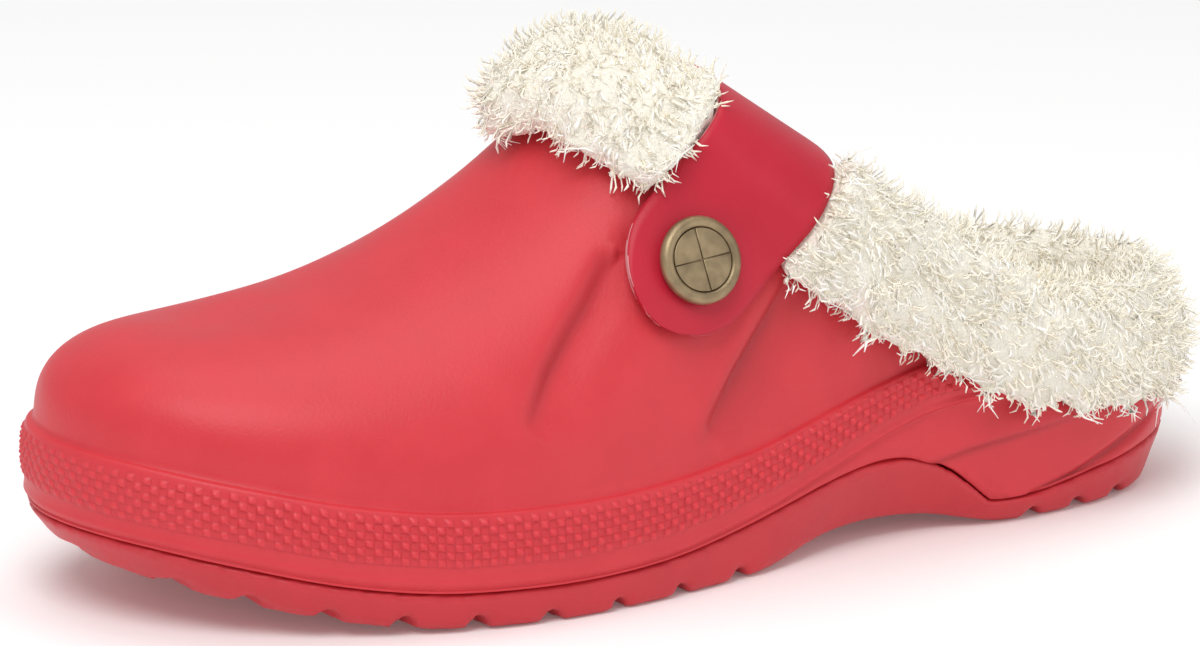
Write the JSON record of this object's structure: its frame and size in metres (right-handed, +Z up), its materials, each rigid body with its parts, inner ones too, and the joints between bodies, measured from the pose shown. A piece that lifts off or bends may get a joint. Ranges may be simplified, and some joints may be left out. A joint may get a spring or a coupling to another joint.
{
  "type": "lined clog slipper",
  "caption": "Moulded foam clog slipper with a fleece cuff and insole, a leather instep strap and snap buttons, left foot.",
  "frame": {"origin": "on the floor under the middle of the heel", "axes": "+Z up, +Y towards the toe, -X towards the outer side of the left foot"},
  "size_m": [0.104, 0.279, 0.1168],
  "materials": {
    "foam": "satin moulded foam, red",
    "fleece": "deep curled fleece, off-white",
    "leather": "smooth satin leather, dark red",
    "bronze": "antique bronze, worn satin"
  },
  "bodies": {
    "root": {"sole": "foam", "upper": "foam", "insole": "fleece", "cuff": "fleece", "strap": "leather", "button_lateral": "bronze", "button_medial": "bronze"}
  },
  "joints": []
}
